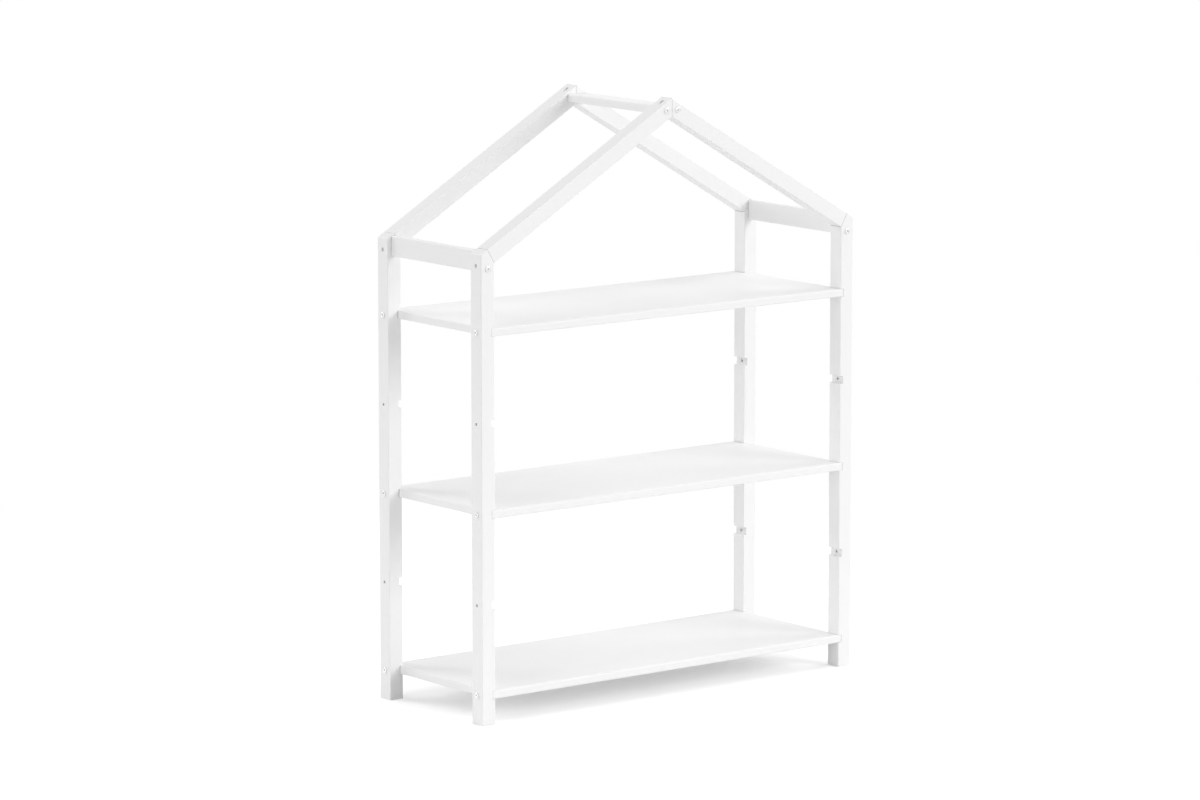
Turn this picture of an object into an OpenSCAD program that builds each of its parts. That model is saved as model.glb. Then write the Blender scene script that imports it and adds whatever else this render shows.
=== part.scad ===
// House shaped bookcase for a child's room, built from solid painted wood.
// Two gable frames (two posts and two rafters each) are tied together by two eave rails,
// a ridge beam and three shelves. Each post has a row of notches that the shelf ends sit in.
// Origin: centre of the footprint on the floor. X runs across the front, Y from front to back,
// Z up. The front face looks towards -Y.

/* [Overall] */
// Width over the outer faces of the posts
body_w = 1000; // [850:10:1150]
// Depth over the front and back faces
body_d = 360; // [300:10:420]
// Height of the outer top corner of the posts, where the roof line starts
eave_h = 983; // [965:1:1100]
// Slope of the roof in degrees
roof_pitch = 30; // [26:1:34]

/* [Posts and rafters] */
// Width of a post, seen from the front
post_w = 34; // [32:1:42]
// Depth of the posts and the rafters, front to back
post_d = 36; // [34:1:46]
// Height of a rafter, square to its slope
rafter_h = 34; // [32:1:38]

/* [Shelves] */
// Thickness of a shelf board
shelf_t = 17; // [15:0.5:20]
// Height of the lowest notch above the floor
first_level = 54; // [40:1:70]
// Height from one notch to the next
level_pitch = 189.5; // [170:0.5:195]
// How deep a notch goes into its post
notch_depth = 8.5; // [6:0.5:10]
// Play over a shelf in its notch, and between its end and the notch
notch_play = 0.2; // [0.1:0.05:0.4]

/* [Eave rails and ridge beam] */
// Thickness of an eave rail
rail_t = 14; // [12:1:18]
// Height of an eave rail
rail_h = 43; // [38:1:50]
// Width of the ridge beam, which lies flat
beam_w = 48; // [44:1:50]
// Thickness of the ridge beam
beam_t = 17; // [15:0.5:18]
// Depth of the ridge beam's top face below the ridge line
beam_drop = 17; // [17:0.5:18]

/* [Edges] */
// Radius of the eased long edges
edge_r = 2; // [1:0.25:3]
// Radius of the edges round a joint, which leave a fine line there
joint_r = 0.9; // [0.3:0.1:1.2]
// Radius of the inner corners of a notch
notch_r = 0.8; // [0.4:0.1:1.5]
// Radius of the edges at the mouth of a notch
mouth_r = 0.8; // [0.4:0.1:2]

/* [Furniture bolts] */
// Diameter of the furniture bolts
bolt_d = 6; // [5.6:0.1:6.2]
// Diameter of their low flat heads
bolt_head_d = 12.5; // [11:0.5:14]
// Height of their heads
bolt_head_h = 2.2; // [2:0.1:2.8]
// Radius of the rims of their heads, rounded at the top and at the seat
bolt_rim_r = 0.9; // [0.3:0.1:1]
// Diameter of the clearance holes for them
bolt_hole_d = 6.5; // [6.4:0.1:6.8]
// Width across flats of their hex sockets
socket_af = 4; // [3:0.25:4.5]
// Depth of their hex sockets
socket_depth = 3; // [2:0.25:3.5]
// How far a bolt reaches into the wood behind the joint
bolt_reach = 14; // [13:0.5:18]
// Outer diameter of the threaded inserts
insert_d = 9; // [8.5:0.25:9.5]
// Wall left round the driving socket in an insert's mouth
insert_rim = 1; // [0.8:0.1:1.2]
// Depth of that socket
insert_socket_depth = 3; // [2:0.5:4]
// Length of the threaded inserts
insert_l = 13; // [10:0.5:13]
// Height of a rail's bolt above the rail's lower edge
rail_bolt_rise = 7; // [7:0.5:10]
// Distance between the two bolts at an end of the ridge beam
ridge_bolt_pitch = 29; // [28:0.5:31]

/* [Roof screws] */
// Diameter of the bores that the roof screws' heads sit in
roof_bore_d = 8; // [7.8:0.1:9]
// Diameter of the roof screws' cylinder heads
roof_head_d = 7.6; // [6.5:0.1:7.7]
// Height of those heads
roof_head_h = 3; // [2:0.25:3.5]
// Width across flats of their sockets
roof_socket_af = 3; // [2.5:0.5:4]
// Depth of their sockets
roof_socket_depth = 1.5; // [1:0.25:1.75]
// Shank diameter of the screws between post and rafter
eave_screw_d = 5; // [4:0.5:5]
// How deep the seats of these screws lie, measured along the screw
eave_seat_depth = 12; // [10:0.5:16]
// Height of the eave screws' line above the rafter's underside, square to the slope
eave_screw_rise = 12.6; // [12:0.2:14]
// Depth of the peak screws' line below the ridge line
peak_screw_drop = 9.5; // [9.5:0.1:10.5]
// Wood left between the mitre and each seat of a peak screw
peak_seat = 5.5; // [4.5:0.5:6]
// Shank diameter of the peak screws
peak_screw_d = 4; // [3:0.5:4.5]
// Wall of the sleeves that the peak screws turn into
sleeve_wall = 0.8; // [0.6:0.1:1]

/* [Dowels] */
// Diameter of the wooden dowels
dowel_d = 6; // [5:0.5:6]
// Length of the dowels in the rail and eave joints
dowel_l = 20; // [16:1:22]
// Depth of a rail's dowel below the rail's top edge
rail_dowel_drop = 9; // [8.5:0.5:10]
// Depth of an eave joint's dowel below the roof line, square to the slope
eave_dowel_drop = 9; // [8.5:0.5:9.5]
// Height of a peak joint's dowel above the lowest point of the mitre
peak_dowel_rise = 8; // [7:0.5:9]

/* [Hidden] */
$fn = 48;

PAINT = "whitesmoke";
STEEL = "silver";
BEECH = "burlywood";

// Two faces that must not coincide are set apart by this much, and a cutter runs this far past
past = 1;
// Clearance round a part that fills its own hole, on the diameter
fill_play = 0.1;
// Extra depth of a blind hole behind what sits in it
hole_relief = 1;
// Chamfer at the ends of dowels, inserts and shanks
end_chamfer = 0.6;
// Least wood between the ends of the peak dowels' holes and the ridge bolts' holes
wood_wall = 1;

// Number of notch levels, and the indexes of those that hold a shelf, the lowest being 0
level_count = 5;
bottom_index = 0;
middle_index = 2;
top_index = 4;

half_w = body_w / 2;
half_d = body_d / 2;
// Middle of a post, front to back, and inner face of the front and back frames
post_y = half_d - post_d / 2;
frame_y = half_d - post_d;

// Roof line: its height at a distance u in from the outer face of a post
function roof_z(u) = eave_h + u * tan(roof_pitch);
ridge_z = roof_z(half_w);
// Height of a rafter measured straight up, and of its underside at a distance u
rafter_rise = rafter_h / cos(roof_pitch);
function under_z(u) = roof_z(u) - rafter_rise;
mitre_low_z = under_z(half_w);

// Height of a notch's floor, and of the bolt line through the shelf there
function level_z(i) = first_level + i * level_pitch;
function shelf_bolt_z(i) = level_z(i) + shelf_t / 2;
notch_floor_x = half_w - post_w + notch_depth;
notch_h = shelf_t + notch_play;
shelf_half_l = notch_floor_x - notch_play;

// Eave rail: centred on the post's width, its outer top edge on the roof line
rail_x = half_w - post_w / 2;
rail_top_z = roof_z((post_w - rail_t) / 2);
rail_low_z = rail_top_z - rail_h;
rail_bolt_z = rail_low_z + rail_bolt_rise;
rail_dowel_z = rail_top_z - rail_dowel_drop;

beam_top_z = ridge_z - beam_drop;
ridge_bolt_z = beam_top_z - beam_t / 2;

peak_screw_z = ridge_z - peak_screw_drop;
peak_dowel_z = mitre_low_z + peak_dowel_rise;
peak_dowel_l = ridge_bolt_pitch - bolt_hole_d - 2 * (hole_relief + wood_wall);
// A peak screw and its sleeve both reach almost from seat to seat, one inside the other
peak_screw_l = 2 * peak_seat - hole_relief;
sleeve_bore_d = peak_screw_d + fill_play;
sleeve_d = sleeve_bore_d + 2 * sleeve_wall;

// Along a roof screw: from the post's outer face, on the screw's line, to the joint face
eave_screw_run = post_w / cos(roof_pitch) - eave_screw_rise * tan(roof_pitch);
eave_screw_grip = eave_screw_run - eave_seat_depth;

// ---------------------------------------------------------------- shapes

// What rounding takes off an outline's corner: the corner lies at the origin, one side runs
// along +X and the other leaves it at the given angle
module corner_round(r, angle = 90) {
    cot = 1 / tan(angle / 2);
    difference() {
        polygon([
            [r * cot, r], [r * cot, -past], [-past * cot, -past],
            [r * cot * cos(angle) - past * sin(angle), r * cot * sin(angle) + past * cos(angle)]
        ]);
        translate([r * cot, r]) circle(r);
    }
}

// Rectangle centred on the origin with eased corners
module eased_rect(x, y, r) {
    difference() {
        square([x, y], center = true);
        for (i = [0, 1], j = [0, 1])
            mirror([i, 0]) mirror([0, j]) translate([-x / 2, -y / 2]) corner_round(r);
    }
}

// Centred block: the edges that run along X, Y and Z are eased by rx, ry and rz
module eased_block(x, y, z, rx, ry, rz) {
    intersection() {
        rotate([90, 0, 90])
            linear_extrude(x, center = true) eased_rect(y, z, rx);
        rotate([90, 0, 0])
            linear_extrude(y, center = true) eased_rect(x, z, ry);
        linear_extrude(z, center = true) eased_rect(x, y, rz);
    }
}

// Board centred on x and y and standing on z = 0, all edges eased alike
module board(x, y, z, r = edge_r) {
    translate([0, 0, z / 2]) eased_block(x, y, z, r, r, r);
}

// Round bar from the origin along +Z with a chamfer at both ends
module chamfered_bar(d, l, c = end_chamfer) {
    rotate_extrude() polygon([
        [0, 0], [d / 2 - c, 0], [d / 2, c],
        [d / 2, l - c], [d / 2 - c, l], [0, l]
    ]);
}

// Hexagonal socket of width af across flats, from z = 0 down to -depth
module hex_socket(af, depth) {
    translate([0, 0, -depth])
        cylinder(d = af / cos(30), h = depth + past, $fn = 6);
}

// Furniture bolt: shank along +Z from the seat of its low flat head at z = 0
module furniture_bolt(shank) {
    difference() {
        union() {
            chamfered_bar(bolt_d, shank);
            rotate_extrude() difference() {
                translate([0, -bolt_head_h]) square([bolt_head_d / 2, bolt_head_h]);
                for (seat = [0, 1])
                    translate([bolt_head_d / 2, (seat - 1) * bolt_head_h])
                        mirror([1, 0]) mirror([0, seat]) corner_round(bolt_rim_r);
            }
        }
        translate([0, 0, -bolt_head_h])
            rotate([180, 0, 0]) hex_socket(socket_af, socket_depth);
    }
}

// Screw with a cylinder head, seated at z = 0 with its shank along +Z
module cylinder_screw(d, shank) {
    difference() {
        union() {
            chamfered_bar(d, shank);
            translate([0, 0, -roof_head_h]) chamfered_bar(roof_head_d, roof_head_h, end_chamfer / 2);
        }
        translate([0, 0, -roof_head_h])
            rotate([180, 0, 0]) hex_socket(roof_socket_af, roof_socket_depth);
    }
}

// Threaded sleeve for a bolt of diameter d: mouth at z = 0, body along +Z
module insert(d) {
    difference() {
        chamfered_bar(insert_d, insert_l);
        translate([0, 0, -past]) cylinder(d = d + fill_play, h = insert_l + 2 * past);
        rotate([180, 0, 0])
            hex_socket((insert_d - 2 * insert_rim) * cos(30), insert_socket_depth);
    }
}

// Hole for an insert and for the bolt's tip behind it, mouth at z = 0
module insert_hole(reach) {
    translate([0, 0, -past]) cylinder(d = insert_d + fill_play, h = insert_l + past);
    cylinder(d = bolt_hole_d, h = reach + hole_relief);
}

// Clearance hole through a piece of the given thickness, along +Z from z = 0
module through_hole(d, thickness) {
    translate([0, 0, -past]) cylinder(d = d, h = thickness + 2 * past);
}

// Blind hole for one half of a dowel, mouth at z = 0
module dowel_hole(length) {
    translate([0, 0, -past]) cylinder(d = dowel_d + fill_play, h = length / 2 + hole_relief + past);
}

module dowel(length) {
    translate([0, 0, -length / 2]) chamfered_bar(dowel_d, length);
}

// ---------------------------------------------------------------- places
// Everything is drawn for the front left corner and mirrored to the others.
// Directions: +Z of a child is turned to point as the name says.

module to_corner(right, back) {
    mirror([right, 0, 0]) mirror([0, back, 0]) children();
}

module four_corners() {
    for (right = [0, 1], back = [0, 1]) to_corner(right, back) children();
}

module inward_x() {
    rotate([0, 90, 0]) children();
}

module inward_y() {
    rotate([-90, 0, 0]) children();
}

// At the outer face of the left front post, on the bolt line of level i, pointing inwards
module at_shelf_bolt(i) {
    translate([-half_w, -post_y, shelf_bolt_z(i)]) inward_x() children();
}

// At the front face of the left front post, on the rail's bolt line, pointing to the back
module at_rail_bolt() {
    translate([-rail_x, -half_d, rail_bolt_z]) inward_y() children();
}

// At the joint between rail and post, on the dowel's line, pointing to the back
module at_rail_dowel() {
    translate([-rail_x, -frame_y, rail_dowel_z]) inward_y() children();
}

// At the front face of the front rafters, on the left bolt line of the ridge beam
module at_ridge_bolt() {
    translate([-ridge_bolt_pitch / 2, -half_d, ridge_bolt_z]) inward_y() children();
}

// Frame of the left rafters: origin where the underside meets the post's inner face,
// +X up the slope, +Z square to it
module at_eave_joint() {
    translate([-half_w + post_w, -post_y, under_z(post_w)])
        rotate([0, -roof_pitch, 0]) children();
}

// On the joint face, at a height above the rafter's underside, pointing up the slope
module at_joint_face(height) {
    at_eave_joint() translate([0, 0, height]) rotate([0, 90, 0]) children();
}

// At the seat of an eave screw's head, pointing up the slope
module at_eave_seat() {
    at_joint_face(eave_screw_rise) translate([0, 0, -eave_screw_grip]) children();
}

// On the mitre plane of the front frame at height z, pointing to the right
module at_mitre(z) {
    translate([0, -post_y, z]) inward_x() children();
}

// ---------------------------------------------------------------- posts

// The lower side of a notch and, mirrored, its upper side
module notch_sides() {
    children();
    translate([0, notch_h]) mirror([0, 1]) children();
}

// Notch as seen from the front: its floor on the left, its mouth, with eased edges, on the right
module notch_outline() {
    difference() {
        square([notch_depth + past, notch_h]);
        notch_sides() corner_round(notch_r);
    }
    notch_sides() translate([notch_depth, 0]) rotate(180) corner_round(mouth_r);
}

// What is cut from a post as seen from the front: the notches and the outer corner of its head
module post_cuts() {
    for (i = [0 : level_count - 1])
        translate([-notch_floor_x, level_z(i)]) notch_outline();
    translate([-half_w, eave_h]) rotate(-90) corner_round(edge_r, 90 + roof_pitch);
}

// All holes in the front left post
module post_holes() {
    for (i = [0 : level_count - 1])
        at_shelf_bolt(i) through_hole(bolt_hole_d, post_w);
    at_rail_bolt() through_hole(bolt_hole_d, post_d);
    at_rail_dowel() rotate([180, 0, 0]) dowel_hole(dowel_l);
    at_joint_face(rafter_h - eave_dowel_drop) rotate([180, 0, 0]) dowel_hole(dowel_l);
    at_eave_seat() {
        through_hole(eave_screw_d + fill_play, eave_screw_grip);
        rotate([180, 0, 0]) cylinder(d = roof_bore_d, h = eave_screw_run + post_w);
    }
}

// Front left post: an eased column, its head shaped to the roof line and to the rafter's foot
module post() {
    column_h = ridge_z;
    head_reach = eave_h;
    color(PAINT) difference() {
        intersection() {
            translate([-half_w + post_w / 2, -post_y, 0]) board(post_w, post_d, column_h);
            at_eave_joint() translate([-head_reach, 0, rafter_h - head_reach])
                eased_block(2 * head_reach, post_d, 2 * head_reach, edge_r, joint_r, joint_r);
        }
        translate([0, -post_y, 0]) rotate([90, 0, 0])
            linear_extrude(post_d + 2 * past, center = true) post_cuts();
        post_holes();
    }
}

module post_front_left() { post(); }
module post_front_right() { to_corner(1, 0) post(); }
module post_back_left() { to_corner(0, 1) post(); }
module post_back_right() { to_corner(1, 1) post(); }

// ---------------------------------------------------------------- rafters

module rafter_holes() {
    at_joint_face(eave_screw_rise) insert_hole(bolt_reach);
    at_joint_face(rafter_h - eave_dowel_drop) dowel_hole(dowel_l);
    at_ridge_bolt() through_hole(bolt_hole_d, post_d);
    at_mitre(peak_dowel_z) rotate([180, 0, 0]) dowel_hole(peak_dowel_l);
    at_mitre(peak_screw_z) rotate([180, 0, 0]) {
        through_hole(sleeve_d + fill_play, peak_seat);
        translate([0, 0, peak_seat]) cylinder(d = roof_bore_d, h = half_w / 2);
    }
}

// Front left rafter: square at its foot, mitred upright at the ridge
module rafter() {
    slope_l = half_w / cos(roof_pitch);
    color(PAINT) difference() {
        intersection() {
            at_eave_joint() translate([slope_l / 2, 0, rafter_h / 2])
                eased_block(slope_l, post_d, rafter_h, edge_r, joint_r, joint_r);
            translate([-half_w / 2, -post_y, ridge_z / 2])
                eased_block(half_w, post_d, 2 * ridge_z, joint_r, joint_r, joint_r);
        }
        rafter_holes();
    }
}

module rafter_front_left() { rafter(); }
module rafter_front_right() { to_corner(1, 0) rafter(); }
module rafter_back_left() { to_corner(0, 1) rafter(); }
module rafter_back_right() { to_corner(1, 1) rafter(); }

// ---------------------------------------------------------------- rails and beam

// Left eave rail, between the front and back frames
module rail() {
    color(PAINT) difference() {
        translate([-rail_x, 0, rail_low_z + rail_h / 2])
            eased_block(rail_t, 2 * frame_y, rail_h, joint_r, edge_r, joint_r);
        for (back = [0, 1]) to_corner(0, back) {
            at_rail_bolt() translate([0, 0, post_d]) insert_hole(bolt_reach);
            at_rail_dowel() dowel_hole(dowel_l);
        }
    }
}

module eave_rail_left() { rail(); }
module eave_rail_right() { to_corner(1, 0) rail(); }

module ridge_beam() {
    color(PAINT) difference() {
        translate([0, 0, beam_top_z - beam_t / 2])
            eased_block(beam_w, 2 * frame_y, beam_t, joint_r, edge_r, joint_r);
        four_corners() at_ridge_bolt() translate([0, 0, post_d]) insert_hole(bolt_reach);
    }
}

// ---------------------------------------------------------------- shelves

module shelf(i) {
    color(PAINT) difference() {
        translate([0, 0, level_z(i)]) board(2 * shelf_half_l, body_d, shelf_t);
        four_corners() at_shelf_bolt(i)
            translate([0, 0, half_w - shelf_half_l]) insert_hole(bolt_reach);
    }
}

module shelf_bottom() { shelf(bottom_index); }
module shelf_middle() { shelf(middle_index); }
module shelf_top() { shelf(top_index); }

// ---------------------------------------------------------------- fasteners

module at_fitted_shelves() {
    for (i = [bottom_index, middle_index, top_index]) four_corners() at_shelf_bolt(i) children();
}

module shelf_bolts() {
    color(STEEL) at_fitted_shelves() furniture_bolt(half_w - shelf_half_l + bolt_reach);
}

module shelf_inserts() {
    color(STEEL) at_fitted_shelves() translate([0, 0, half_w - shelf_half_l]) insert(bolt_d);
}

module rail_bolts() {
    color(STEEL) four_corners() at_rail_bolt() furniture_bolt(post_d + bolt_reach);
}

module rail_inserts() {
    color(STEEL) four_corners() at_rail_bolt() translate([0, 0, post_d]) insert(bolt_d);
}

module rail_dowels() {
    color(BEECH) four_corners() at_rail_dowel() dowel(dowel_l);
}

module ridge_bolts() {
    color(STEEL) four_corners() at_ridge_bolt() furniture_bolt(post_d + bolt_reach);
}

module ridge_inserts() {
    color(STEEL) four_corners() at_ridge_bolt() translate([0, 0, post_d]) insert(bolt_d);
}

module eave_screws() {
    color(STEEL) four_corners() at_eave_seat()
        cylinder_screw(eave_screw_d, eave_screw_grip + bolt_reach);
}

module eave_inserts() {
    color(STEEL) four_corners() at_joint_face(eave_screw_rise) insert(eave_screw_d);
}

module eave_dowels() {
    color(BEECH) four_corners() at_joint_face(rafter_h - eave_dowel_drop) dowel(dowel_l);
}

module peak_screws() {
    color(STEEL) for (back = [0, 1]) to_corner(0, back)
        at_mitre(peak_screw_z) translate([0, 0, -peak_seat])
            cylinder_screw(peak_screw_d, peak_screw_l);
}

// Sleeve with a flange like the screw's head, turned onto the screw from the right
module peak_sleeves() {
    color(STEEL) for (back = [0, 1]) to_corner(0, back)
        at_mitre(peak_screw_z) translate([0, 0, peak_seat]) rotate([180, 0, 0]) difference() {
            cylinder_screw(sleeve_d, peak_screw_l);
            translate([0, 0, hole_relief / 2]) cylinder(d = sleeve_bore_d, h = peak_screw_l);
        }
}

module peak_dowels() {
    color(BEECH) for (back = [0, 1]) to_corner(0, back)
        at_mitre(peak_dowel_z) dowel(peak_dowel_l);
}

post_front_left();
post_front_right();
post_back_left();
post_back_right();
rafter_front_left();
rafter_front_right();
rafter_back_left();
rafter_back_right();
eave_rail_left();
eave_rail_right();
ridge_beam();
shelf_bottom();
shelf_middle();
shelf_top();
shelf_bolts();
shelf_inserts();
rail_bolts();
rail_inserts();
rail_dowels();
ridge_bolts();
ridge_inserts();
eave_screws();
eave_inserts();
eave_dowels();
peak_screws();
peak_sleeves();
peak_dowels();
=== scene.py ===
"""House shaped bookcase: the finish of its white lacquered pine boards, its bolts and dowels.

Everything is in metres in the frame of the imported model: the origin is on the floor under the
middle of the bookcase, X runs across its front, Y from front to back and Z up.
"""

import math

import bmesh
import bpy
import numpy as np
from mathutils import Euler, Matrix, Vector


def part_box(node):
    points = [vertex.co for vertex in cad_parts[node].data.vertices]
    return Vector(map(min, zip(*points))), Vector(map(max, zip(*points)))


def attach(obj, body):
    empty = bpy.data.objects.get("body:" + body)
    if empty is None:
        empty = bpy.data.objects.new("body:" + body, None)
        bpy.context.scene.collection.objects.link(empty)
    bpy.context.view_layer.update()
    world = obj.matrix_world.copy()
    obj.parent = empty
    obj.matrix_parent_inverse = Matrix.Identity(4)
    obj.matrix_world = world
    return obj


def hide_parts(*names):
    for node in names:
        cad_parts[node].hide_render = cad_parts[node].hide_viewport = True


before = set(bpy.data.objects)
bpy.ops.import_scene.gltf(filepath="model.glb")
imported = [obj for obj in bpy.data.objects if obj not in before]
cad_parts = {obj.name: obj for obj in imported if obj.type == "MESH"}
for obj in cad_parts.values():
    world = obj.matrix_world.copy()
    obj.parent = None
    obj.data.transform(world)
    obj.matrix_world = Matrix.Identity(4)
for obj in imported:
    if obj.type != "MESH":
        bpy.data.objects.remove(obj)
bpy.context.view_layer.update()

# ---------------------------------------------------------------- camera
# A long lens looks at the bookcase from its front left, a little downwards.
# Place and turn come from the edges of the posts, shelves and rafters in the photograph.

CAMERA_PLACE = Vector((-7.353, -9.301, 2.527))
CAMERA_TURN = math.radians(38.138)
CAMERA_DOWN = math.radians(9.179)
CAMERA_LENS_MM = 169.285
CAMERA_SENSOR_MM = 36.0
CAMERA_SIGHT = 200.0

camera_data = bpy.data.cameras.new("camera")
camera_data.sensor_fit = "HORIZONTAL"
camera_data.sensor_width = CAMERA_SENSOR_MM
camera_data.lens = CAMERA_LENS_MM
camera_data.clip_end = CAMERA_SIGHT
camera = bpy.data.objects.new("camera", camera_data)
camera.location = CAMERA_PLACE
camera.rotation_euler = Euler((math.pi / 2 - CAMERA_DOWN, 0.0, -CAMERA_TURN))
bpy.context.scene.collection.objects.link(camera)
bpy.context.scene.camera = camera

# ---------------------------------------------------------------- posts
# Four square posts of planed pine, eased along their edges, sanded and sprayed white. Each has
# five notches for the shelf ends, and a head cut to the roof and to the rafter's foot, which is
# screwed down on it. A fine dark line of painted shade, for the shade in the gap, runs along the
# joint between the two.

MM = 0.001


class Wire:
    """An output socket in a shader graph. Arithmetic on wires and numbers adds Math nodes."""

    def __init__(self, graph, socket):
        self.graph = graph
        self.socket = socket

    def maths(self, operation, *values):
        """A Math node on these values."""
        return self.graph.node("Math", {"operation": operation}, dict(enumerate(values)))

    def __add__(self, other):
        return self.maths("ADD", self, other)

    def __sub__(self, other):
        return self.maths("SUBTRACT", self, other)

    def __rsub__(self, other):
        return self.maths("SUBTRACT", other, self)

    def __mul__(self, other):
        return self.maths("MULTIPLY", self, other)

    def __truediv__(self, other):
        return self.maths("DIVIDE", self, other)

    def __pow__(self, other):
        return self.maths("POWER", self, other)

    def __abs__(self):
        return self.maths("ABSOLUTE", self)

    __radd__ = __add__
    __rmul__ = __mul__


class Graph:
    """The shader graph of one material or of the world."""

    def __init__(self, owner):
        owner.use_nodes = True
        self.tree = owner.node_tree
        self.tree.nodes.clear()

    def node(self, kind, settings=None, sockets=None, output=0):
        """Adds a node, makes its settings, then gives its sockets their values or links."""
        made = self.tree.nodes.new("ShaderNode" + kind)
        for name, value in (settings or {}).items():
            setattr(made, name, value)
        for name, value in (sockets or {}).items():
            if isinstance(value, Wire):
                self.tree.links.new(value.socket, made.inputs[name])
            else:
                made.inputs[name].default_value = value
        return Wire(self, made.outputs[output] if made.outputs else None)

    def parts(self, vector):
        """The three parts of a vector."""
        split = self.node("SeparateXYZ", None, {"Vector": vector})
        return [Wire(self, socket) for socket in split.socket.node.outputs]

    def vector(self, x, y, z):
        """The vector that has these parts."""
        return self.node("CombineXYZ", None, {"X": x, "Y": y, "Z": z})

    def lesser(self, a, b):
        """The lesser of two values."""
        return self.node("Math", {"operation": "MINIMUM"}, {0: a, 1: b})

    def greater(self, a, b):
        """The greater of two values."""
        return self.node("Math", {"operation": "MAXIMUM"}, {0: a, 1: b})

    def middling(self, a, b, c):
        """The middle one of three values."""
        return self.lesser(self.greater(a, b), self.greater(self.lesser(a, b), c))

    def fade(self, value, start, end):
        """0 at start, 1 at end, smooth between them."""
        settings = {"interpolation_type": "SMOOTHSTEP"}
        return self.node("MapRange", settings, {"Value": value, "From Min": start, "From Max": end})

    def fade_out(self, value, start, end):
        """1 at start, 0 at end, smooth between them."""
        return 1.0 - self.fade(value, start, end)

    def noise(self, vector, rate, detail=2.0):
        """Noise about 0, nearly all of it between -0.5 and 0.5, at this rate in waves per unit."""
        sockets = {"Vector": vector, "Scale": rate, "Detail": detail}
        return self.node("TexNoise", {"noise_dimensions": "3D"}, sockets) - 0.5

    def streaks(self, along, across, up, rates):
        """Noise drawn out along the first part, at one rate along it and another across it, in
        waves per metre."""
        along_rate, across_rate = rates
        return self.noise(self.vector(along * along_rate, across * across_rate, up * across_rate), 1.0)

    def blend(self, factor, first, second):
        """From the first colour to the second as the factor goes from 0 to 1. A Mix node takes its
        colours at the sockets 6 and 7, and gives their mix at its output 2."""
        return self.node("Mix", {"data_type": "RGBA"}, {0: factor, 6: first, 7: second}, output=2)

    def relief(self, height):
        """The normal of a surface with a relief of this height in millimetres."""
        return self.node("Bump", None, {"Strength": 1.0, "Distance": MM, "Height": height})

    def finish(self, sockets):
        """Ends a material's graph in a principled surface with these sockets."""
        surface = self.node("BsdfPrincipled", None, sockets)
        self.node("OutputMaterial", None, {"Surface": surface})


LACQUER = (0.885, 0.885, 0.885, 1.0)
THIN_LACQUER = (0.80, 0.79, 0.765, 1.0)
LACQUER_ROUGHNESS = 0.40
CLOUD_ROUGHNESS = 0.08
LATE_WOOD_GLOSS = 0.04

RING_WIDTH = 3.4 * MM
RING_SWAY = 9 * MM
LATE_WOOD_POWER = 3.0
SWAY_RATES = (1.7, 9.0)
FIBRE_RATES = (45.0, 1300.0)
CLOUD_RATE = 14.0
PEEL_RATE = 650.0
PEEL_DETAIL = 1.0

# Where the pith line runs across and through the board, and how far the grain is shifted along it.
BOARD_PITH = ((-25 * MM, 25 * MM), (-60 * MM, -30 * MM), (0.0, 9.0))
STAVE_PITH = ((-60 * MM, 60 * MM), (-30 * MM, -80 * MM), (0.0, 7.0))

# How much each feature thins the lacquer.
ARRIS_TINT = 0.12
LATE_WOOD_TINT = 0.11
FIBRE_TINT = 0.06
CLOUD_TINT = 0.10

# How high each feature stands, or how deep it lies, in millimetres.
LATE_WOOD_RELIEF = 0.018
FIBRE_RELIEF = 0.009
PEEL_RELIEF = 0.005
GLUE_LINE_DEPTH = 0.03

ARRIS_CORE = 0.3 * MM
ARRIS_EDGE = 1.8 * MM
ARRIS_WAVER = 0.6 * MM
STAVE_WIDTH = 60 * MM
GLUE_LINE_CORE = 0.1 * MM
GLUE_LINE_EDGE = 0.5 * MM

# Painted shade: the dark colour laid along each joint between two pieces, for the shade in the gap
# there, how far it reaches at the rafters' joint, and how far in from a shelf's end it may lie.
JOINT_SHADE = (0.20, 0.195, 0.19, 1.0)
TIGHT_JOINT_SHADE = 0.40 * MM
SHADED_STAVE_END = 1.0 * MM


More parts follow.
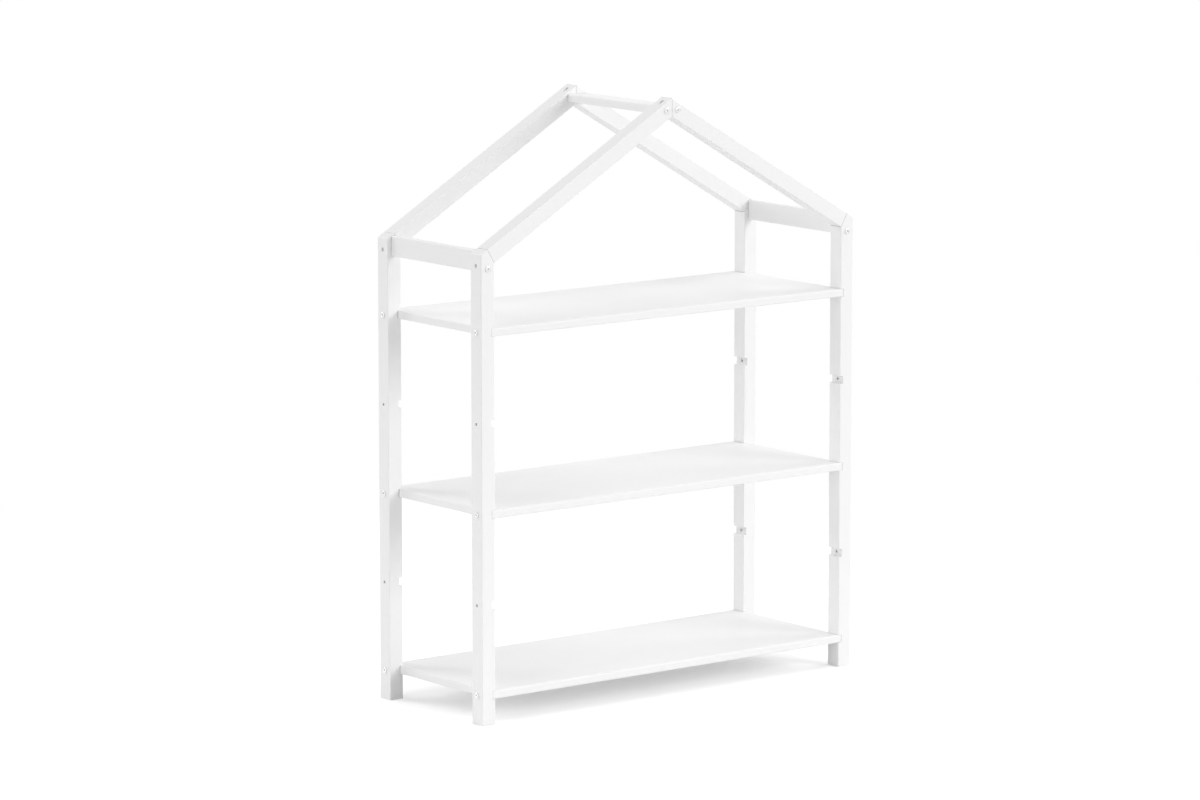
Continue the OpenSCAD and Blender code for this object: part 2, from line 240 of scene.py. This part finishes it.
def lacquered_pine(name, low, high, turn, seed, staves=False, joints=()):
    """White lacquer on a pine board that fills the box from low to high in its own turned frame.

    There u runs along the grain, v across it and w through the board. The growth rings are
    cylinders round a pith line beside the board, swayed by slow noise:
    rings = (distance from the pith line + sway * noise) / ring width,
    late wood = the fraction of the rings to the power of 3, so that it grows towards each ring's
    outside and ends there. A board glued up from staves has a pith line in each stave, and a glue
    line sunk between one stave and the next.
    The late wood, the fibres and an orange peel make a faint relief. The lacquer is thinner over
    the late wood and the fibres, in slow clouds, and most of all on the arrises.
    A shaded joint is (direction, reach, width): the plane at that reach from the origin where the
    board meets its neighbour. There the colour is darkened with painted shade, for the shade in the
    gap between the two: darkest at the plane, gone at the width from it. On a board of staves it
    shows on the very ends alone, which are what the notches hold.
    """
    material = bpy.data.materials.new(name)
    graph = Graph(material)
    middle = (Vector(low) + Vector(high)) / 2
    half = (Vector(high) - Vector(low)) / 2
    place = graph.node("TexCoord", output="Object")
    turned = graph.node("Mapping", {"vector_type": "TEXTURE"}, {"Vector": place, "Rotation": turn})
    where = graph.node("VectorMath", {"operation": "SUBTRACT"}, {0: turned, 1: middle})
    u, v, w = graph.parts(where)

    if staves:
        stave = graph.node("Math", {"operation": "FLOOR"}, {0: v / STAVE_WIDTH})
        across = v - stave * STAVE_WIDTH
        draw = graph.node("TexWhiteNoise", {"noise_dimensions": "1D"}, {"W": stave + seed})
        pith_v, pith_w, shift = (draw * (end - start) + start for start, end in STAVE_PITH)
    else:
        across = v
        chance = np.random.default_rng(seed)
        pith_v, pith_w, shift = (float(chance.uniform(start, end)) for start, end in BOARD_PITH)
    along = u + shift
    sway = graph.streaks(along, v, w, SWAY_RATES)
    distance = ((across - pith_v) ** 2.0 + (w - pith_w) ** 2.0) ** 0.5 + sway * RING_SWAY
    fraction = graph.node("Math", {"operation": "FRACT"}, {0: distance / RING_WIDTH})
    late_wood = fraction ** LATE_WOOD_POWER
    fibres = graph.streaks(along, v, w, FIBRE_RATES)
    cloud = graph.noise(where, CLOUD_RATE)
    peel = graph.noise(where, PEEL_RATE, PEEL_DETAIL)

    gap_u, gap_v, gap_w = (side - abs(part) for side, part in zip(half, (u, v, w)))
    from_arris = graph.middling(gap_v, gap_w, gap_u) + cloud * ARRIS_WAVER
    arris = graph.fade_out(from_arris, ARRIS_CORE, ARRIS_EDGE)
    thin = arris * ARRIS_TINT + late_wood * LATE_WOOD_TINT + fibres * FIBRE_TINT + cloud * CLOUD_TINT
    height = late_wood * LATE_WOOD_RELIEF + fibres * FIBRE_RELIEF + peel * PEEL_RELIEF
    if staves:
        from_glue = STAVE_WIDTH / 2 - abs(across - STAVE_WIDTH / 2)
        height = height - graph.fade_out(from_glue, GLUE_LINE_CORE, GLUE_LINE_EDGE) * GLUE_LINE_DEPTH

    colour = graph.blend(thin, LACQUER, THIN_LACQUER)
    # Painted shade along each joint where the board meets its neighbour.
    for direction, reach, width in joints:
        product = {0: place, 1: direction}
        out = graph.node("VectorMath", {"operation": "DOT_PRODUCT"}, product, output="Value")
        joint_shade_mask = graph.fade_out(abs(out - reach), 0.0, width)
        if staves:
            joint_shade_mask = joint_shade_mask * graph.fade_out(gap_u, 0.0, SHADED_STAVE_END)
        colour = graph.blend(joint_shade_mask, colour, JOINT_SHADE)
    graph.finish({
        "Base Color": colour,
        "Roughness": cloud * CLOUD_ROUGHNESS - late_wood * LATE_WOOD_GLOSS + LACQUER_ROUGHNESS,
        "Normal": graph.relief(height),
    })
    return material


def box_in(node, turn):
    """A node's lowest and highest corners in a frame turned about the origin."""
    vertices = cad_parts[node].data.vertices
    points = np.empty(3 * len(vertices))
    vertices.foreach_get("co", points)
    points = points.reshape(-1, 3) @ np.array(Euler(turn).to_matrix())
    return points.min(axis=0), points.max(axis=0)


def lacquer_board(node, turn, seed, staves=False, joints=()):
    """Lacquers a packed board whose grain runs along X once it is turned back."""
    low, high = box_in(node, turn)
    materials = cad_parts[node].data.materials
    materials.clear()
    materials.append(lacquered_pine(node, low.tolist(), high.tolist(), turn, seed, staves, joints))


ROOF_PITCH = math.radians(30)
LEFT_SLOPE = (0.0, -ROOF_PITCH, 0.0)
RIGHT_SLOPE = (0.0, ROOF_PITCH, 0.0)
rafter_low, rafter_high = box_in("rafter_front_left", LEFT_SLOPE)
foot_reach = float(rafter_low[0])
# Painted shade along the joint of each rafter's foot on its post's head, on the left slope and on the
# right.
LEFT_FOOT_SHADE = ((math.cos(ROOF_PITCH), 0.0, math.sin(ROOF_PITCH)), foot_reach, TIGHT_JOINT_SHADE)
RIGHT_FOOT_SHADE = ((-math.cos(ROOF_PITCH), 0.0, math.sin(ROOF_PITCH)), foot_reach, TIGHT_JOINT_SHADE)

UPRIGHT = (0.0, -math.pi / 2, 0.0)
POST_SEED = 11
GABLES = ("front", "back")
for index, gable in enumerate(GABLES):
    seed = POST_SEED + 2 * index
    lacquer_board("post_" + gable + "_left", UPRIGHT, seed, joints=(LEFT_FOOT_SHADE,))
    lacquer_board("post_" + gable + "_right", UPRIGHT, seed + 1, joints=(RIGHT_FOOT_SHADE,))

# ---------------------------------------------------------------- rafters
# Four rafters of the same lacquered pine, as deep as the posts. Each is square at its foot, where
# a screw and a dowel hold it on the post's head, and cut upright where the pair meets at the ridge.

# Painted shade along the mitre where each pair of rafters meets.
MITRE_SHADE = ((1.0, 0.0, 0.0), 0.0, TIGHT_JOINT_SHADE)
LEFT_RAFTER_SEED = 21
RIGHT_RAFTER_SEED = 31
for index, gable in enumerate(GABLES):
    left = "rafter_" + gable + "_left"
    right = "rafter_" + gable + "_right"
    lacquer_board(left, LEFT_SLOPE, LEFT_RAFTER_SEED + index, joints=(LEFT_FOOT_SHADE, MITRE_SHADE))
    lacquer_board(right, RIGHT_SLOPE, RIGHT_RAFTER_SEED + index, joints=(RIGHT_FOOT_SHADE, MITRE_SHADE))

# ---------------------------------------------------------------- eave rails
# Two lacquered pine boards on edge between the front and back posts, just under the rafters' feet.
# Their ends butt on the posts, and a bolt through the post and a dowel above it hold each end.

FRONT_TO_BACK = (0.0, 0.0, math.pi / 2)
# How far the painted shade at each butt joint reaches, wider than at the tight joint of rafters and
# posts.
BUTT_JOINT_SHADE = 1.10 * MM
RAIL_SEED = 41


def butted_board(node, seed):
    """Lacquers a board whose two ends butt on the gables in front of it and behind it, with painted
    shade along the joint at each end.
    """
    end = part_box(node)[1].y
    end_shades = [((0.0, back, 0.0), end, BUTT_JOINT_SHADE) for back in (-1.0, 1.0)]
    lacquer_board(node, FRONT_TO_BACK, seed, joints=end_shades)


for index, side in enumerate(("left", "right")):
    butted_board("eave_rail_" + side, RAIL_SEED + index)

# ---------------------------------------------------------------- ridge beam
# One lacquered pine board, laid flat under the ridge. Its ends butt on the two pairs of rafters,
# with two bolts at each end.

BEAM_SEED = 51
butted_board("ridge_beam", BEAM_SEED)

# ---------------------------------------------------------------- shelves
# Three boards glued up from pine staves, lacquered on all sides. Their ends sit in the posts'
# notches, and a bolt through each post pulls them tight.

ALONG = (0.0, 0.0, 0.0)
# How far the painted shade reaches at the mouth of each notch that holds a shelf's end.
NOTCH_SHADE = 1.80 * MM
SHELF_SEED = 61
LEVELS = ("bottom", "middle", "top")
post_inner_y = -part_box("post_front_left")[1].y
notch_mouth_shades = [((0.0, back, 0.0), post_inner_y, NOTCH_SHADE) for back in (-1.0, 1.0)]
for index, level in enumerate(LEVELS):
    lacquer_board("shelf_" + level, ALONG, SHELF_SEED + index, staves=True, joints=notch_mouth_shades)

# ---------------------------------------------------------------- shelf bolts and their inserts
# Twelve zinc plated M6 bolts with low, flat, round rimmed heads hold the shelves. Each passes
# through its post into a threaded insert, which is driven into the shelf's end.

BOLT_D = 6 * MM
BOLT_PITCH = 1 * MM
BOLT_THREAD_DEPTH = 0.5 * MM
BOLT_REACH = 14 * MM
BOLT_HEAD_D = 12.5 * MM
BOLT_HEAD_H = 2.2 * MM
BOLT_RIM_R = 0.9 * MM
BOLT_SOCKET_AF = 4 * MM
BOLT_SOCKET_DEPTH = 3 * MM
END_CHAMFER = 0.6 * MM

# A socket's drill point, chamfer and mouth radius, as shares of its width across flats.
SOCKET_POINT = 1 / 8
SOCKET_CHAMFER = 1 / 20
SOCKET_MOUTH = 0.6

INSERT_D = 9 * MM
INSERT_L = 13 * MM
INSERT_PITCH = 3 * MM
INSERT_THREAD_DEPTH = 0.9 * MM
INSERT_THREAD_STEPS = 8
INSERT_RIM = 1 * MM
INSERT_SOCKET_DEPTH = 3 * MM
BORE_PLAY = 0.05 * MM

TURNED_SIDES = 36
SHARP_ANGLE = math.radians(22)
WELD_REACH = 1e-6
OWN_STEP = 0.1

STEEL = (0.83, 0.83, 0.83, 1.0)
DULL_STEEL = (0.74, 0.74, 0.745, 1.0)
TURNING_MARK_RATES = (4000.0, 7000.0)
TURNING_MARK_TINT = 0.3
TURNING_MARK_ROUGHNESS = 0.08
TURNING_MARK_RELIEF = 0.004
BLOOM_RATE = 420.0
BLOOM_TINT = 0.5
BLOOM_ROUGHNESS = 0.10
BOLT_ROUGHNESS = 0.14
INSERT_ROUGHNESS = 0.30

side_angle = np.arange(TURNED_SIDES) * 2 * math.pi / TURNED_SIDES


def hexagon(across_flats):
    """Distance from the middle of a hexagon to its outline at each angle:
    half its width / cos(angle from the nearest flat's middle)."""
    return across_flats / 2 / np.cos(side_angle % (math.pi / 3) - math.pi / 6)


def ring(along, radius):
    """One ring of a turned surface, as rows (along, radius) by side."""
    return np.stack(np.broadcast_arrays(along, radius, side_angle)[:2])[:, None]


def rings(along, radius):
    """Rings at each of the arrays' values."""
    return np.stack(np.broadcast_arrays(along[:, None], radius[:, None], side_angle)[:2])


def rim(along, radius, r, start, end, steps=6):
    """Rings round an edge of radius r: (along + r sin t, radius + r cos t), t from start to end."""
    t = np.linspace(math.radians(start), math.radians(end), steps)
    return rings(along + r * np.sin(t), radius + r * np.cos(t))


def thread(start, end, radius, depth, pitch, steps=4):
    """Rings of a screw thread from start to end, so many steps to a pitch:
    radius - depth * |2 frac(along / pitch - turns) - 1|, a wave that climbs a pitch each turn."""
    along = np.linspace(start, end, round(abs(end - start) / pitch * steps) + 1)[:, None]
    wave = np.abs(2 * np.mod(along / pitch - side_angle / (2 * math.pi), 1) - 1)
    return np.stack(np.broadcast_arrays(along, radius - depth * wave))


def head(d, h, rim_r, socket_af, socket_depth):
    """A round head's surface, seated at 0. Its rings run from the drill point in the socket's floor
    up the hexagon and its chamfer, over the flat top at -h and round both edges of the rim."""
    return np.concatenate([
        ring(socket_depth - h + socket_af * SOCKET_POINT, 0.0),
        ring(socket_depth - h, hexagon(socket_af)),
        ring(socket_af * SOCKET_CHAMFER - h, hexagon(socket_af)),
        ring(-h, socket_af * SOCKET_MOUTH),
        rim(rim_r - h, d / 2 - rim_r, rim_r, -90, 0),
        rim(-rim_r, d / 2 - rim_r, rim_r, 0, 90),
    ], axis=1)


def bolt(top, length, d, pitch, thread_depth, thread_l):
    """A bolt's surface. Its rings run from the head, its top, over the plain shank and the thread
    to a flat tip at length."""
    return np.concatenate([
        top,
        ring(0.0, d / 2 + END_CHAMFER / 2),
        ring(END_CHAMFER / 2, d / 2),
        ring(length - thread_l, d / 2),
        thread(length - thread_l, length - END_CHAMFER, d / 2, thread_depth, pitch),
        ring(length, d / 2 - thread_depth - END_CHAMFER / 2),
        ring(length, 0.0),
    ], axis=1)


def insert(bore_d):
    """A threaded insert's surface, a loop. Its rings run from the mouth at 0 down the hexagonal
    driving socket and the threaded bore to its end, and back over the coarse thread outside."""
    bore = bore_d / 2 + BORE_PLAY
    outer = INSERT_D / 2
    socket = hexagon((INSERT_D - 2 * INSERT_RIM) * math.cos(math.pi / 6))
    inner_thread = thread(INSERT_SOCKET_DEPTH, INSERT_L, bore, -BOLT_THREAD_DEPTH / 2, BOLT_PITCH)
    outer_thread = thread(INSERT_L - END_CHAMFER, END_CHAMFER, outer, INSERT_THREAD_DEPTH,
                          INSERT_PITCH, INSERT_THREAD_STEPS)
    return np.concatenate([
        ring(0.0, socket),
        ring(INSERT_SOCKET_DEPTH, socket),
        ring(INSERT_SOCKET_DEPTH, bore),
        inner_thread,
        ring(INSERT_L, bore),
        ring(INSERT_L, outer - INSERT_THREAD_DEPTH - END_CHAMFER / 2),
        outer_thread,
        ring(END_CHAMFER / 2, outer),
        ring(0.0, outer - END_CHAMFER / 2),
    ], axis=1)


def turned_set(name, node, material, shape, places, loop=False):
    """Like turned pieces in one mesh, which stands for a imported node.

    A piece's own point at ring i and side j is (along[i, j], radius[i, j] cos a[j],
    radius[i, j] sin a[j]). A place is (spot, bearing, slope): the piece's axis is turned up by
    the slope, then round by the bearing from the x axis, and its origin put on the spot. A loop's
    last ring is joined to its first, while other shapes end on their axis and are welded there.
    The own coordinates stay in the attribute "own", each piece's a step after the one before.
    """
    along, radius = shape
    own = np.stack([along, radius * np.cos(side_angle), radius * np.sin(side_angle)], axis=-1)
    own = own.reshape(-1, 3)
    turns = np.array([Euler((0.0, -slope, bearing)).to_matrix() for _, bearing, slope in places])
    spots = np.array([spot for spot, _, _ in places])
    points = np.einsum("kab,nb->kna", turns, own) + spots[:, None]

    rows, columns = np.indices((len(along) - (0 if loop else 1), TURNED_SIDES))
    next_rows, next_columns = (rows + 1) % len(along), (columns + 1) % TURNED_SIDES
    corners = [rows * TURNED_SIDES + columns, rows * TURNED_SIDES + next_columns,
               next_rows * TURNED_SIDES + next_columns, next_rows * TURNED_SIDES + columns]
    quads = np.stack(corners, axis=-1).reshape(-1, 4)
    faces = quads + len(own) * np.arange(len(places))[:, None, None]

    mesh = bpy.data.meshes.new(name)
    mesh.from_pydata(points.reshape(-1, 3).tolist(), [], faces.reshape(-1, 4).tolist())
    apart = np.arange(len(places))[:, None, None] * np.array((OWN_STEP, 0.0, 0.0))
    attribute = mesh.attributes.new("own", "FLOAT_VECTOR", "POINT")
    attribute.data.foreach_set("vector", (own + apart).ravel())
    welded = bmesh.new()
    welded.from_mesh(mesh)
    bmesh.ops.remove_doubles(welded, verts=welded.verts, dist=WELD_REACH)
    bmesh.ops.recalc_face_normals(welded, faces=welded.faces)
    welded.to_mesh(mesh)
    welded.free()
    mesh.shade_smooth()
    mesh.set_sharp_from_angle(angle=SHARP_ANGLE)
    mesh.materials.append(material)
    piece = bpy.data.objects.new(name, mesh)
    bpy.context.scene.collection.objects.link(piece)
    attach(piece, "root")
    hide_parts(node)


def plated_steel(name, roughness):
    """Zinc plating over turned steel: fine rings round the piece's own axis, and a dull bloom."""
    material = bpy.data.materials.new(name)
    graph = Graph(material)
    own = graph.node("Attribute", {"attribute_name": "own"}, output="Vector")
    along, across, up = graph.parts(own)
    radius = (across ** 2.0 + up ** 2.0) ** 0.5
    marks = graph.streaks(along, radius, 0.0, TURNING_MARK_RATES)
    bloom = graph.noise(own, BLOOM_RATE) + 0.5
    graph.finish({
        "Base Color": graph.blend(bloom * BLOOM_TINT + marks * TURNING_MARK_TINT, STEEL, DULL_STEEL),
        "Metallic": 1.0,
        "Roughness": bloom * BLOOM_ROUGHNESS + marks * TURNING_MARK_ROUGHNESS + roughness,
        "Normal": graph.relief(marks * TURNING_MARK_RELIEF),
    })
    return material


bolt_plating = plated_steel("bolt_plating", BOLT_ROUGHNESS)
insert_plating = plated_steel("insert_plating", INSERT_ROUGHNESS)


def plated_bolts(node, shape, places):
    """Bolts or screws of one shape, or the sleeve nuts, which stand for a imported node."""
    turned_set(node + "_plated", node, bolt_plating, shape, places)


def plated_inserts(node, bore_d, places):
    """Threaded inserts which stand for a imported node."""
    turned_set(node + "_plated", node, insert_plating, insert(bore_d), places, loop=True)


def middle_z(node):
    """The height of the middle of a node's box."""
    low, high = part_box(node)
    return (low.z + high.z) / 2


def facing_in_x(x, y, heights):
    """Places at (+-x, +-y) and each height, pointing to the middle plane x = 0."""
    return [(Vector((right * x, back * y, z)), (right + 1) * math.pi / 2, 0.0)
            for z in heights for right in (-1, 1) for back in (-1, 1)]


flat_head = head(BOLT_HEAD_D, BOLT_HEAD_H, BOLT_RIM_R, BOLT_SOCKET_AF, BOLT_SOCKET_DEPTH)


def furniture_bolt(grip):
    """The bolts' shape, through wood as thick as the grip and on into the insert behind it."""
    return bolt(flat_head, grip + BOLT_REACH, BOLT_D, BOLT_PITCH, BOLT_THREAD_DEPTH, BOLT_REACH)


post_low, post_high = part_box("post_back_right")
half_w = post_high.x
half_d = post_high.y
post_y = (post_low.y + post_high.y) / 2
shelf_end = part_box("shelf_top")[1].x
shelf_heights = [middle_z("shelf_" + level) for level in LEVELS]

plated_bolts("shelf_bolts", furniture_bolt(half_w - shelf_end),
             facing_in_x(half_w, post_y, shelf_heights))
plated_inserts("shelf_inserts", BOLT_D, facing_in_x(shelf_end, post_y, shelf_heights))

# ---------------------------------------------------------------- rail bolts, inserts and dowels
# Each end of an eave rail is held by one bolt of the same kind, through the post into a threaded
# insert. A fluted beech dowel above it, half in the rail and half in the post, stops it turning.

DOWEL_D = 6 * MM
DOWEL_L = 20 * MM
DOWEL_FLUTES = 9
FLUTE_DEPTH = 0.35 * MM

BEECH = (0.66, 0.46, 0.28, 1.0)
BEECH_FLECK = (0.42, 0.25, 0.13, 1.0)
BEECH_TONE = 0.1
BEECH_ROUGHNESS = 0.65
BEECH_FIBRE_RATES = (120.0, 3000.0)
BEECH_FIBRE_TINT = 0.3
BEECH_FIBRE_ROUGHNESS = 0.2
BEECH_FIBRE_RELIEF = 0.04
FLECK_RATES = (700.0, 2600.0)
FLECK_START = 0.08
FLECK_FULL = 0.22
FLECK_TINT = 0.5


def dowel(length):
    """A dowel's surface, its middle at 0, with straight flutes:
    radius - flute depth * sin(flutes * angle / 2) ** 2, and chamfered ends."""
    fluted = DOWEL_D / 2 - FLUTE_DEPTH * np.sin(side_angle * DOWEL_FLUTES / 2) ** 2
    end = length / 2
    return np.concatenate([
        ring(-end, 0.0),
        ring(-end, fluted - END_CHAMFER),
        ring(END_CHAMFER - end, fluted),
        ring(end - END_CHAMFER, fluted),
        ring(end, fluted - END_CHAMFER),
        ring(end, 0.0),
    ], axis=1)


def bare_beech(name):
    """Beech along the dowel's own axis: fine fibres and short dark flecks."""
    material = bpy.data.materials.new(name)
    graph = Graph(material)
    own = graph.node("Attribute", {"attribute_name": "own"}, output="Vector")
    along, across, up = graph.parts(own)
    fibres = graph.streaks(along, across, up, BEECH_FIBRE_RATES)
    flecks = graph.fade(graph.streaks(along, across, up, FLECK_RATES), FLECK_START, FLECK_FULL)
    dark = fibres * BEECH_FIBRE_TINT + flecks * FLECK_TINT + BEECH_TONE
    graph.finish({
        "Base Color": graph.blend(dark, BEECH, BEECH_FLECK),
        "Roughness": fibres * BEECH_FIBRE_ROUGHNESS + BEECH_ROUGHNESS,
        "Normal": graph.relief(fibres * BEECH_FIBRE_RELIEF),
    })
    return material


beech = bare_beech("bare_beech")


def fluted_dowels(node, length, places):
    """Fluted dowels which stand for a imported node."""
    turned_set(node + "_fluted", node, beech, dowel(length), places)


def facing_in_y(x, y, z):
    """Places at (+-x, +-y), pointing to the middle plane y = 0."""
    return [(Vector((right * x, back * y, z)), -back * math.pi / 2, 0.0)
            for right in (-1, 1) for back in (-1, 1)]


rail_low, rail_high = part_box("eave_rail_right")
rail_x = (rail_low.x + rail_high.x) / 2
rail_end = rail_high.y
rail_bolt_z = middle_z("rail_bolts")

plated_bolts("rail_bolts", furniture_bolt(half_d - rail_end), facing_in_y(rail_x, half_d, rail_bolt_z))
plated_inserts("rail_inserts", BOLT_D, facing_in_y(rail_x, rail_end, rail_bolt_z))
fluted_dowels("rail_dowels", DOWEL_L, facing_in_y(rail_x, rail_end, middle_z("rail_dowels")))

# ---------------------------------------------------------------- ridge bolts and inserts
# Two of the same bolts hold each end of the ridge beam, one through each rafter of the gable. They
# turn into threaded inserts in the beam's end.

beam_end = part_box("ridge_beam")[1].y
ridge_bolt_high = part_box("ridge_bolts")[1]
ridge_bolt_x = ridge_bolt_high.x - BOLT_HEAD_D / 2
ridge_bolt_z = ridge_bolt_high.z - BOLT_HEAD_D / 2

plated_bolts("ridge_bolts", furniture_bolt(half_d - beam_end),
             facing_in_y(ridge_bolt_x, half_d, ridge_bolt_z))
plated_inserts("ridge_inserts", BOLT_D, facing_in_y(ridge_bolt_x, beam_end, ridge_bolt_z))

# ---------------------------------------------------------------- eave screws, inserts and dowels
# A zinc plated cylinder head screw, sunk in a bore of the post's outer side, runs up the slope
# into a threaded insert in the rafter's foot. A fluted beech dowel above it keeps the foot from
# turning.

EAVE_SCREW_D = 5 * MM
EAVE_SCREW_PITCH = 0.8 * MM
EAVE_SCREW_RISE = 12.6 * MM
EAVE_SEAT_DEPTH = 12 * MM
EAVE_DOWEL_DROP = 9 * MM
ROOF_HEAD_D = 7.6 * MM
ROOF_HEAD_H = 3 * MM
ROOF_HEAD_RIM_R = 0.3 * MM
ROOF_SOCKET_AF = 3 * MM
ROOF_SOCKET_DEPTH = 1.5 * MM
ROOF_THREAD_DEPTH = 0.4 * MM

cylinder_head = head(ROOF_HEAD_D, ROOF_HEAD_H, ROOF_HEAD_RIM_R, ROOF_SOCKET_AF, ROOF_SOCKET_DEPTH)


def cylinder_screw(length, d, pitch, thread_l):
    """A roof screw's shape, its head seated at 0 and its tip at length."""
    return bolt(cylinder_head, length, d, pitch, ROOF_THREAD_DEPTH, thread_l)


def up_the_slopes(u, w):
    """Places at u along and w square to the left slope, and their mirror images, pointing up it."""
    spot = Euler(LEFT_SLOPE).to_matrix() @ Vector((u, 0.0, w))
    return [(Vector((-right * spot.x, back * post_y, spot.z)), (right + 1) * math.pi / 2, ROOF_PITCH)
            for right in (-1, 1) for back in (-1, 1)]


# The wood between the screw's seat and the foot: the post's width along the slope, less what the
# screw's height over the rafter's underside takes off it, less the bore.
post_w = post_high.x - post_low.x
eave_grip = post_w / math.cos(ROOF_PITCH) - EAVE_SCREW_RISE * math.tan(ROOF_PITCH) - EAVE_SEAT_DEPTH
eave_screw_w = rafter_low[2] + EAVE_SCREW_RISE
eave_dowel_w = rafter_high[2] - EAVE_DOWEL_DROP

plated_bolts("eave_screws",
             cylinder_screw(eave_grip + BOLT_REACH, EAVE_SCREW_D, EAVE_SCREW_PITCH, BOLT_REACH),
             up_the_slopes(foot_reach - eave_grip, eave_screw_w))
plated_inserts("eave_inserts", EAVE_SCREW_D, up_the_slopes(foot_reach, eave_screw_w))
fluted_dowels("eave_dowels", DOWEL_L, up_the_slopes(foot_reach, eave_dowel_w))

# ---------------------------------------------------------------- peak screws, sleeves and dowels
# Across each mitre a zinc plated screw turns into a sleeve nut whose flange is like the screw's
# head, both sunk in bores of the rafters' tops. A short beech dowel below them lines the rafters up.

PEAK_SCREW_D = 4 * MM
PEAK_SCREW_PITCH = 0.7 * MM
PEAK_SCREW_NECK = 1 * MM
SLEEVE_WALL = 0.8 * MM
SLEEVE_FLOOR = 0.5 * MM


def sleeve(length):
    """A sleeve nut's surface. Its rings run from the head, which is its flange, along the outside
    to the mouth at length, and back down the threaded bore to that bore's floor."""
    bore = PEAK_SCREW_D / 2 + BORE_PLAY
    outer = bore + SLEEVE_WALL
    return np.concatenate([
        cylinder_head,
        ring(0.0, outer),
        ring(length - ROOF_HEAD_RIM_R, outer),
        ring(length, outer - ROOF_HEAD_RIM_R),
        ring(length, bore),
        thread(length, SLEEVE_FLOOR, bore, -ROOF_THREAD_DEPTH / 2, PEAK_SCREW_PITCH),
        ring(SLEEVE_FLOOR, 0.0),
    ], axis=1)


def in_both_gables(x, z, bearing):
    """Places at x and z in the front and the back gable, pointing to the bearing."""
    return [(Vector((x, back * post_y, z)), bearing, 0.0) for back in (-1, 1)]


screw_low, screw_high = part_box("peak_screws")
dowel_low, dowel_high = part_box("peak_dowels")
peak_seat = -screw_low.x - ROOF_HEAD_H
peak_screw_l = screw_high.x + peak_seat
peak_thread_l = peak_screw_l - PEAK_SCREW_NECK
peak_z = middle_z("peak_screws")
sleeve_l = peak_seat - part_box("peak_sleeves")[0].x

plated_bolts("peak_screws",
             cylinder_screw(peak_screw_l, PEAK_SCREW_D, PEAK_SCREW_PITCH, peak_thread_l),
             in_both_gables(-peak_seat, peak_z, 0.0))
plated_bolts("peak_sleeves", sleeve(sleeve_l), in_both_gables(peak_seat, peak_z, math.pi))
fluted_dowels("peak_dowels", dowel_high.x - dowel_low.x,
              in_both_gables(0.0, middle_z("peak_dowels"), 0.0))

# ---------------------------------------------------------------- floor
# A matt white studio floor of limited size, so that it brightens the feet more than the roof.
# It glows for the camera and for reflections alone, a little beside the bookcase, where its
# shadow shows, and up to white at its edge, where the white dome goes on.

FLOOR_REACH = 2.6
FLOOR_PAINT = (0.90, 0.90, 0.90, 1.0)
FLOOR_GLOW = 0.32
SHADOW_REACH = 0.8


def seen_directly(graph):
    """1 for camera, glossy and transmission rays, 0 for those that light a surface."""
    rays = graph.node("LightPath").socket.node.outputs
    camera_ray = Wire(graph, rays["Is Camera Ray"])
    glossy_ray = Wire(graph, rays["Is Glossy Ray"])
    clear_ray = Wire(graph, rays["Is Transmission Ray"])
    return graph.greater(graph.greater(camera_ray, glossy_ray), clear_ray)


floor_mesh = bpy.data.meshes.new("floor")
floor_corners = [Vector((x, y, 0.0)) * FLOOR_REACH for x, y in ((-1, -1), (1, -1), (1, 1), (-1, 1))]
floor_mesh.from_pydata(floor_corners, [], [(0, 1, 2, 3)])
floor = bpy.data.objects.new("floor", floor_mesh)
bpy.context.scene.collection.objects.link(floor)
floor_material = bpy.data.materials.new("floor")
graph = Graph(floor_material)
place = graph.node("TexCoord", output="Object")
away = graph.node("VectorMath", {"operation": "LENGTH"}, {0: place}, output="Value")
seen = seen_directly(graph)
paint = graph.node("BsdfDiffuse", None, {"Color": FLOOR_PAINT})
glow = graph.node("Emission", None, {"Strength": seen * FLOOR_GLOW})
near = graph.node("AddShader", None, {0: paint, 1: glow})
white = graph.node("Emission", None, {"Strength": 1.0})
far = seen * graph.fade(away, SHADOW_REACH, FLOOR_REACH)
surface = graph.node("MixShader", None, {0: far, 1: near, 2: white})
graph.node("OutputMaterial", None, {"Surface": surface})
floor_mesh.materials.append(floor_material)

# ---------------------------------------------------------------- light
# A pale dome, white where the camera and reflections look at it, and five soft boxes far out:
# the key from the front right, one from the right, one each from the left and the back left, and
# one overhead. A box is (bearing in degrees from the front towards the right, elevation, watts).

DOME = 0.47
SOFT_BOXES = {
    "key": (28, 20, 975),
    "right": (80, 25, 790),
    "back_left": (-150, 30, 720),
    "left": (-75, 13, 485),
    "overhead": (0, 89, 290),
}
SOFT_BOX_SIZE = 7.0
SOFT_BOX_REACH = 16.0
LIT_SPOT = Vector((0.0, 0.0, 0.6))
WHITE_SKY = (1.0, 1.0, 1.0, 1.0)

world = bpy.data.worlds.new("world")
bpy.context.scene.world = world
graph = Graph(world)
strength = seen_directly(graph) * (1 - DOME) + DOME
sky = graph.node("Background", None, {"Color": WHITE_SKY, "Strength": strength})
graph.node("OutputWorld", None, {"Surface": sky})

for name, (bearing, elevation, power) in SOFT_BOXES.items():
    lamp_data = bpy.data.lights.new(name, "AREA")
    lamp_data.shape = "SQUARE"
    lamp_data.size = SOFT_BOX_SIZE
    lamp_data.energy = power
    lamp = bpy.data.objects.new(name, lamp_data)
    turn = Euler((0.0, math.radians(-elevation), math.radians(bearing - 90)))
    out = turn.to_matrix() @ Vector((1.0, 0.0, 0.0))
    lamp.location = LIT_SPOT + out * SOFT_BOX_REACH
    lamp.rotation_euler = out.to_track_quat("Z", "Y").to_euler()
    bpy.context.scene.collection.objects.link(lamp)

bpy.context.scene.view_settings.view_transform = "Standard"
